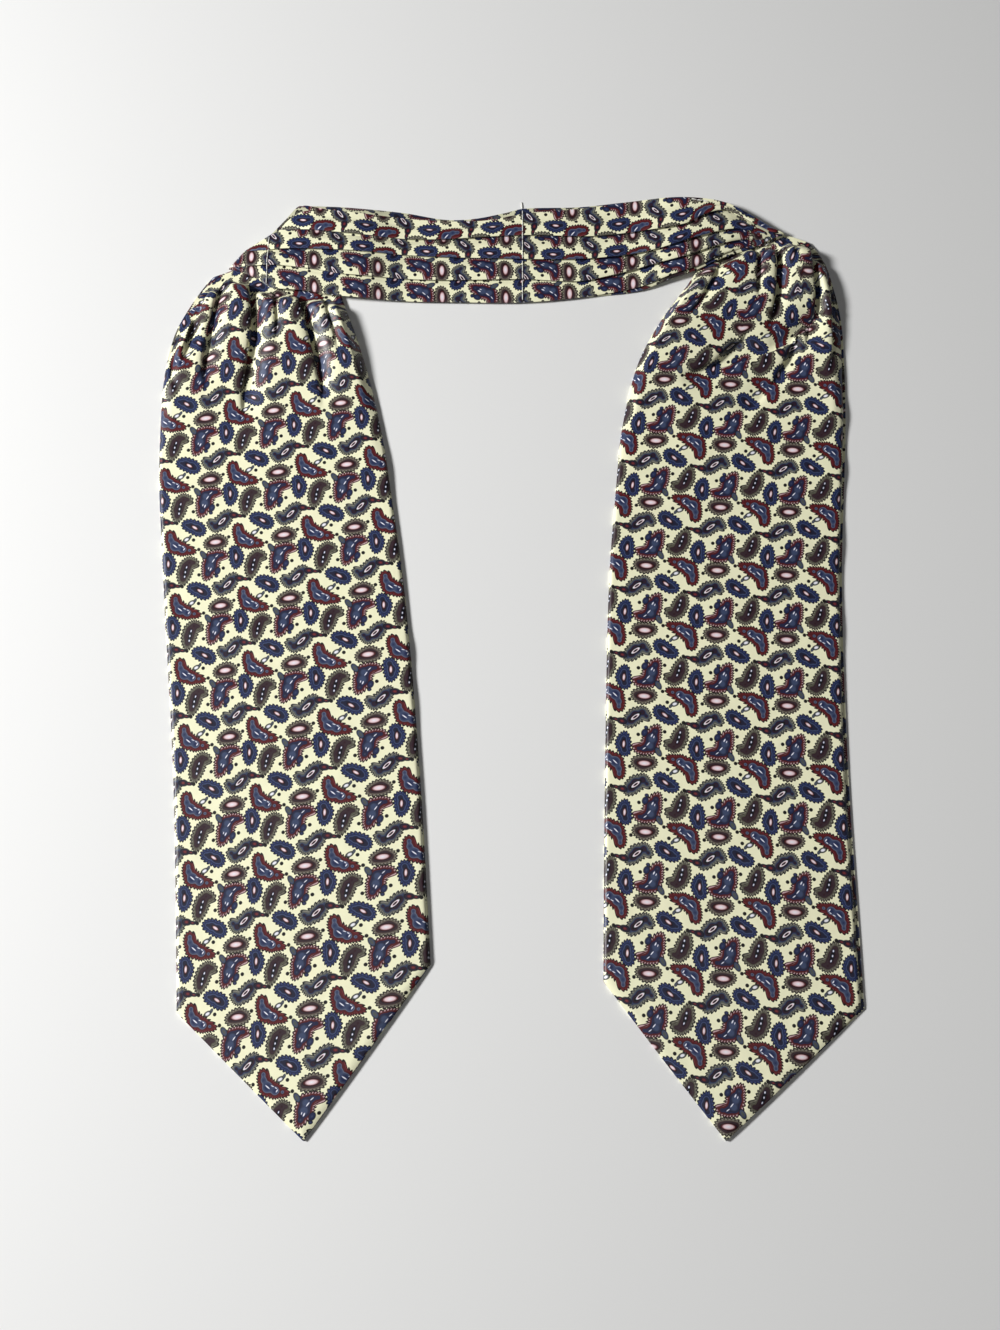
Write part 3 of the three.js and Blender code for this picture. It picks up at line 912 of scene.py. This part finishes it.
class Graph:
    """Adds shader nodes to one material."""

    def __init__(self, material):
        material.use_nodes = True
        self.tree = material.node_tree
        self.tree.nodes.clear()

    def node(self, kind, **settings):
        new = self.tree.nodes.new(kind)
        for name, value in settings.items():
            setattr(new, name, value)
        return new

    def put(self, value, socket):
        """Sets a socket to a number or a vector, or links it to another socket."""
        if isinstance(value, bpy.types.NodeSocket):
            self.tree.links.new(value, socket)
        else:
            socket.default_value = value

    def calc(self, operation, *values):
        new = self.node("ShaderNodeMath", operation=operation)
        for value, socket in zip(values, new.inputs):
            self.put(value, socket)
        return new.outputs[0]

    def vector(self, operation, *values):
        new = self.node("ShaderNodeVectorMath", operation=operation)
        for value, socket in zip(values, new.inputs):
            self.put(value, socket)
        return new.outputs["Value" if operation in ("LENGTH", "DISTANCE") else "Vector"]

    def fit(self, vector, place, degrees, size):
        """The vector as seen from a place, turned and scaled."""
        new = self.node("ShaderNodeMapping", vector_type="TEXTURE")
        self.put(vector, new.inputs["Vector"])
        new.inputs["Location"].default_value = (*place, 0)
        new.inputs["Rotation"].default_value = (0, 0, math.radians(degrees))
        new.inputs["Scale"].default_value = (*size, 1)
        return new.outputs["Vector"]

    def split(self, vector):
        new = self.node("ShaderNodeSeparateXYZ")
        self.put(vector, new.inputs["Vector"])
        return new.outputs["X"], new.outputs["Y"]

    def ramp(self, value, stops, reach, outside=0):
        """The colour and the cover of a ramp whose stops lie from -outside to reach - outside."""
        share = self.calc("MULTIPLY_ADD", value, 1 / reach, outside / reach)
        new = self.node("ShaderNodeValToRGB")
        elements = new.color_ramp.elements
        while len(elements) > 1:
            elements.remove(elements[-1])
        for number, stop in enumerate(stops):
            place = (stop.at + outside) / reach
            element = elements[0] if number == 0 else elements.new(place)
            element.position = place
            element.color = (*INKS[stop.ink], stop.cover)
        self.put(share, new.inputs["Fac"])
        return new.outputs["Color"], new.outputs["Alpha"]

    def cover(self, under, colour, share):
        new = self.node("ShaderNodeMix", data_type="RGBA")
        self.put(share, new.inputs["Factor"])
        self.put(under, new.inputs[6])
        self.put(colour, new.inputs[7])
        return new.outputs[2]

    def noise(self, place, scale, detail):
        new = self.node("ShaderNodeTexNoise", noise_dimensions="2D")
        self.put(place, new.inputs["Vector"])
        new.inputs["Scale"].default_value = scale
        new.inputs["Detail"].default_value = detail
        return new.outputs["Fac"]

    def bands(self, place, scale, distortion=0):
        """Fine slanting bands."""
        new = self.node("ShaderNodeTexWave", wave_type="BANDS", bands_direction="DIAGONAL")
        self.put(place, new.inputs["Vector"])
        new.inputs["Scale"].default_value = scale
        new.inputs["Distortion"].default_value = distortion
        return new.outputs["Fac"]

    def bump(self, height, strength, distance, normal=None):
        new = self.node("ShaderNodeBump")
        new.inputs["Strength"].default_value = strength
        new.inputs["Distance"].default_value = distance
        self.put(height, new.inputs["Height"])
        if normal:
            self.put(normal, new.inputs["Normal"])
        return new.outputs["Normal"]

    def show(self, shader):
        output = self.node("ShaderNodeOutputMaterial")
        self.put(shader.outputs["BSDF"], output.inputs["Surface"])


def wrapped(graph, place, p, q):
    """The way from a motif's middle to here, in millimetres, within half a repeat each way."""
    way = graph.vector("SUBTRACT", place, (p, q, 0))
    half = (REPEAT_ACROSS / 2, REPEAT_ALONG / 2, 1)
    return graph.vector("WRAP", way, half, tuple(-side for side in half))


def draw_heart(graph, way, colour, heart):
    out = graph.vector("LENGTH", graph.fit(way, (heart.p, heart.q), heart.turn, (heart.long, heart.wide)))
    return graph.cover(colour, *graph.ramp(out, HEARTS[heart.look], HEART_REACH))


def draw_motif(graph, place, colour, motif):
    way = wrapped(graph, place, motif.p, motif.q)
    outside = None
    for ball in motif.balls:
        gap = graph.calc("SUBTRACT", graph.vector("DISTANCE", way, (ball.p, ball.q, 0)), ball.r)
        outside = gap if outside is None else graph.calc("SMOOTH_MIN", outside, gap, BLEND)
    u, v = graph.split(graph.fit(way, (0, 0), motif.turn, (motif.long, 1)))
    lobe = graph.calc("MULTIPLY", graph.calc("ARCTAN2", v, u), motif.scallops / 2)
    lobe = graph.calc("ABSOLUTE", graph.calc("SINE", lobe))
    depth = graph.calc("SUBTRACT", graph.calc("MULTIPLY_ADD", lobe, SCALLOP, -VALLEY), outside)
    edge, rim = RIM_INKS[motif.rim]
    stops = [Stop(-0.15, edge, 0), Stop(0.0, edge), Stop(0.5, edge), Stop(0.7, rim)]
    colour = graph.cover(colour, *graph.ramp(depth, stops, RIM_REACH, RIM_OUTSIDE))
    _, band = graph.ramp(depth, BEAD_BAND, RIM_REACH, RIM_OUTSIDE)
    bead = graph.calc("MULTIPLY", graph.calc("POWER", lobe, BEAD_ROUND[motif.rim]), band)
    bead = graph.calc("MULTIPLY", bead, BEAD_COVER)
    colour = graph.cover(colour, (*INKS[BEADS[motif.rim]], 1), bead)
    inside = graph.calc("MULTIPLY", outside, -1)
    colour = graph.cover(colour, *graph.ramp(inside, FIELDS[motif.rim], RIM_REACH, RIM_OUTSIDE))
    for heart in motif.hearts:
        colour = draw_heart(graph, way, colour, heart)
    return colour


def draw_print(graph):
    """The colour of the print, and the cloth's place in millimetres."""
    source = graph.node("ShaderNodeUVMap", uv_map="print")
    place = graph.vector("MULTIPLY", source.outputs["UV"], (REPEAT_ACROSS, REPEAT_ALONG, 0))
    darker = (*(channel * GROUND_SHADE for channel in INKS["ground"]), 1)
    colour = graph.cover((*INKS["ground"], 1), darker, graph.noise(place, scale=0.05, detail=2))
    for motif in MOTIFS:
        colour = draw_motif(graph, place, colour, motif)
    for leaf in LEAVES:
        colour = draw_heart(graph, wrapped(graph, place, leaf.p, leaf.q), colour, leaf._replace(p=0, q=0))
    for dot in DOTS:
        out = graph.vector("LENGTH", wrapped(graph, place, dot.p, dot.q))
        stops = [Stop(stop.at * DOT_SIZE, stop.ink, stop.cover) for stop in HEARTS["dot"]]
        colour = graph.cover(colour, *graph.ramp(out, stops, HEART_REACH))
    return colour, place


def silk(roughness, sheen):
    """Printed silk twill: a soft satin shine, the twill's fine diagonal ribs and faint handling creases."""
    material = bpy.data.materials.new("silk_print")
    graph = Graph(material)
    colour, place = draw_print(graph)
    shaded = graph.node("ShaderNodeHueSaturation", name="dulled")
    graph.put(colour, shaded.inputs["Color"])
    ribs = graph.bands(place, scale=0.6, distortion=0.4)
    crumple = graph.noise(place, scale=0.11, detail=4)
    weave = graph.bump(ribs, strength=0.25, distance=0.00006)
    creased = graph.bump(crumple, strength=0.5, distance=0.0006, normal=weave)
    shader = graph.node("ShaderNodeBsdfPrincipled", name="silk")
    graph.put(shaded.outputs["Color"], shader.inputs["Base Color"])
    graph.put(creased, shader.inputs["Normal"])
    shader.inputs["Roughness"].default_value = roughness
    shader.inputs["Specular IOR Level"].default_value = 0.45
    shader.inputs["Sheen Weight"].default_value = sheen
    shader.inputs["Sheen Roughness"].default_value = 0.4
    graph.show(shader)
    return material


def silk_material():
    settings = bpy.context.scene.cravat
    return bpy.data.materials.get("silk_print") or silk(settings.silk_roughness, settings.sheen)


def duller_silk(name, roughness, dulled):
    """A copy of the silk with the same print, rougher by so much and with its colours dulled."""
    material = bpy.data.materials.get(name)
    if not material:
        material = silk_material().copy()
        material.name = name
        material.node_tree.nodes["silk"].inputs["Roughness"].default_value += roughness
        material.node_tree.nodes["dulled"].inputs["Value"].default_value = dulled
    return material


def silk_back_material():
    return duller_silk("silk_print_back", roughness=0.06, dulled=0.94)


# A much darker copy of the silk for the neckband's back layer: painted shade for its top strip, which curls
# down away from the light
def silk_painted_shade_material():
    return duller_silk("silk_print_turned", roughness=0.1, dulled=0.7)


def thread_material():
    """White sewing thread: matt, with its twist as fine slanting ridges and painted shade in the grooves
    between them.
    """
    material = bpy.data.materials.get("tack_thread_white")
    if material:
        return material
    material = bpy.data.materials.new("tack_thread_white")
    graph = Graph(material)
    place = graph.node("ShaderNodeTexCoord").outputs["Object"]
    twist = graph.bands(place, scale=900)
    ridges = graph.bump(twist, strength=0.6, distance=0.00008)
    # Darker where the twist's bands are low: painted shade in the grooves between the ridges
    colour = graph.cover((*INKS["thread painted shade"], 1), (*INKS["thread"], 1), twist)
    shader = graph.node("ShaderNodeBsdfPrincipled")
    graph.put(colour, shader.inputs["Base Color"])
    graph.put(ridges, shader.inputs["Normal"])
    shader.inputs["Roughness"].default_value = 0.7
    shader.inputs["Sheen Weight"].default_value = 0.15
    graph.show(shader)
    return material


# Stage


# The camera's place in the tables' frame, in millimetres, and the fill light's power as a share of the key's
CAMERA_PLACE = (-3.0, -212.8, 834.6)
FILL_SHARE = 0.022


def build_stage():
    settings = bpy.context.scene.cravat
    scene = bpy.context.scene
    scene.view_settings.view_transform = "Standard"
    low, high = (Vector(corner) for corner in CAD_BOX)
    middle = (low + high) / 2
    bpy.ops.mesh.primitive_plane_add(size=8, location=(middle.x, middle.y, 0))
    floor = bpy.context.active_object
    floor.name = "floor"
    floor.data.transform(floor.matrix_world)
    floor.matrix_world.identity()
    material = bpy.data.materials.new("floor")
    material.use_nodes = True
    shader = material.node_tree.nodes["Principled BSDF"]
    shader.inputs["Base Color"].default_value = (*settings.floor_colour, 1)
    shader.inputs["Roughness"].default_value = 0.85
    floor.data.materials.append(material)
    for light_name, place, size, power in (
        ("key", (-1.75, 0.12, 1.25), 0.45, settings.key_power),
        ("fill", (0.0, -0.36, 1.35), 0.7, settings.key_power * FILL_SHARE),
    ):
        lamp = bpy.data.lights.new(light_name, "AREA")
        lamp.shape = "DISK"
        lamp.size = size
        lamp.energy = power
        light = bpy.data.objects.new(light_name, lamp)
        scene.collection.objects.link(light)
        light.location = place
        light.rotation_euler = (middle - Vector(place)).to_track_quat("-Z", "Y").to_euler()
    world = bpy.data.worlds.new("studio")
    world.use_nodes = True
    world.node_tree.nodes["Background"].inputs["Color"].default_value = (1, 1, 1, 1)
    world.node_tree.nodes["Background"].inputs["Strength"].default_value = settings.room_light
    scene.world = world
    lens = bpy.data.cameras.new("camera")
    lens.sensor_fit = "HORIZONTAL"
    lens.sensor_width = 36
    lens.lens = settings.lens
    camera = bpy.data.objects.new("camera", lens)
    scene.collection.objects.link(camera)
    camera.location = [(place + shift) * MM for place, shift in zip(CAMERA_PLACE, (SHIFT_X, SHIFT_Y, 0))]
    camera.rotation_euler = (settings.tilt, 0, 0)
    scene.camera = camera


class CravatSettings(bpy.types.PropertyGroup):
    """Sizes and finishes that a user would change."""

    lens: bpy.props.FloatProperty(
        name="Lens", description="Focal length of the camera on a 36 mm sensor",
        default=54.0, min=20, max=200,
    )
    tilt: bpy.props.FloatProperty(
        name="Camera tilt", description="Tilt from straight down",
        default=math.radians(13.17), subtype="ANGLE", unit="ROTATION",
    )
    floor_colour: bpy.props.FloatVectorProperty(
        name="Floor colour", description="Colour of the plain floor",
        default=(0.80, 0.80, 0.79), subtype="COLOR", size=3,
    )
    key_power: bpy.props.FloatProperty(
        name="Key light", description="Power of the main light", default=63.0, min=0, unit="POWER"
    )
    room_light: bpy.props.FloatProperty(
        name="Room light", description="Strength of the light from all round", default=0.05, min=0
    )
    silk_roughness: bpy.props.FloatProperty(
        name="Silk roughness", description="How matt the silk is",
        default=0.42, min=0, max=1, subtype="FACTOR",
    )
    sheen: bpy.props.FloatProperty(
        name="Silk sheen", description="Soft sheen of the silk",
        default=0.02, min=0, max=1, subtype="FACTOR",
    )


class CRAVAT_OT_stage(bpy.types.Operator):
    """Adds the floor, the lights and the camera"""

    bl_idname = "cravat.stage"
    bl_label = "Stage"

    def execute(self, context):
        build_stage()
        return {"FINISHED"}


class CRAVAT_OT_blades(bpy.types.Operator):
    """Lays out both blades, each a front panel on its back panel"""

    bl_idname = "cravat.blades"
    bl_label = "Blades"

    def execute(self, context):
        left_shape = (LEFT_BLADE, LEFT_CREASES, LEFT_WAVES, LEFT_START, LEFT_PUFF)
        right_shape = (RIGHT_BLADE, RIGHT_CREASES, RIGHT_WAVES, RIGHT_START, RIGHT_PUFF)
        left_back = back_panel("blade_left_back", LEFT_BLADE, LEFT_PRINT)
        right_back = back_panel("blade_right_back", RIGHT_BLADE, RIGHT_PRINT)
        left = front_panel("blade_left_front", *left_shape, LEFT_PRINT)
        right = front_panel("blade_right_front", *right_shape, RIGHT_PRINT)
        return {"FINISHED"}


class CRAVAT_OT_neckband(bpy.types.Operator):
    """Lays out the neckband: four pleats on a back layer"""

    bl_idname = "cravat.neckband"
    bl_label = "Neckband"

    def execute(self, context):
        back = band_back()
        for pleat in range(1, len(PLEAT_LINES)):
            sheet = pleat_panel(pleat)
        return {"FINISHED"}


class CRAVAT_OT_tacks(bpy.types.Operator):
    """Sews the tack stitches that hold the pleats, with the loose end of the centre row"""

    bl_idname = "cravat.tacks"
    bl_label = "Tack stitches"

    def execute(self, context):
        layers = context.evaluated_depsgraph_get()
        sheets = [piece for piece in context.scene.objects if piece.name.startswith("silk_neckband")]
        if not sheets:
            raise RuntimeError("the tack stitches need the neckband first")
        trees = [BVHTree.FromObject(sheet, layers) for sheet in sheets]
        stitch = model_stitch()
        for tack in (*TACKS, LOOSE_END):
            tack_row(tack, stitch, trees)
        bpy.data.objects.remove(stitch)
        return {"FINISHED"}


OPERATORS = (CRAVAT_OT_stage, CRAVAT_OT_blades, CRAVAT_OT_neckband, CRAVAT_OT_tacks)


class CRAVAT_PT_panel(bpy.types.Panel):
    """The cravat's settings and operators"""

    bl_label = "Silk Day Cravat"
    bl_idname = "CRAVAT_PT_panel"
    bl_space_type = "VIEW_3D"
    bl_region_type = "UI"
    bl_category = "Cravat"

    def draw(self, context):
        for name in ("lens", "tilt", "floor_colour", "key_power", "room_light", "silk_roughness", "sheen"):
            self.layout.prop(context.scene.cravat, name)
        for operator in OPERATORS:
            self.layout.operator(operator.bl_idname)


CLASSES = (CravatSettings, *OPERATORS, CRAVAT_PT_panel)


def register():
    for item in CLASSES:
        bpy.utils.register_class(item)
    bpy.types.Scene.cravat = bpy.props.PointerProperty(type=CravatSettings)


def unregister():
    del bpy.types.Scene.cravat
    for item in reversed(CLASSES):
        bpy.utils.unregister_class(item)


def main():
    register()
    bpy.ops.cravat.stage()
    bpy.ops.cravat.blades()
    bpy.ops.cravat.neckband()
    bpy.ops.cravat.tacks()


if __name__ == "__main__":
    main()
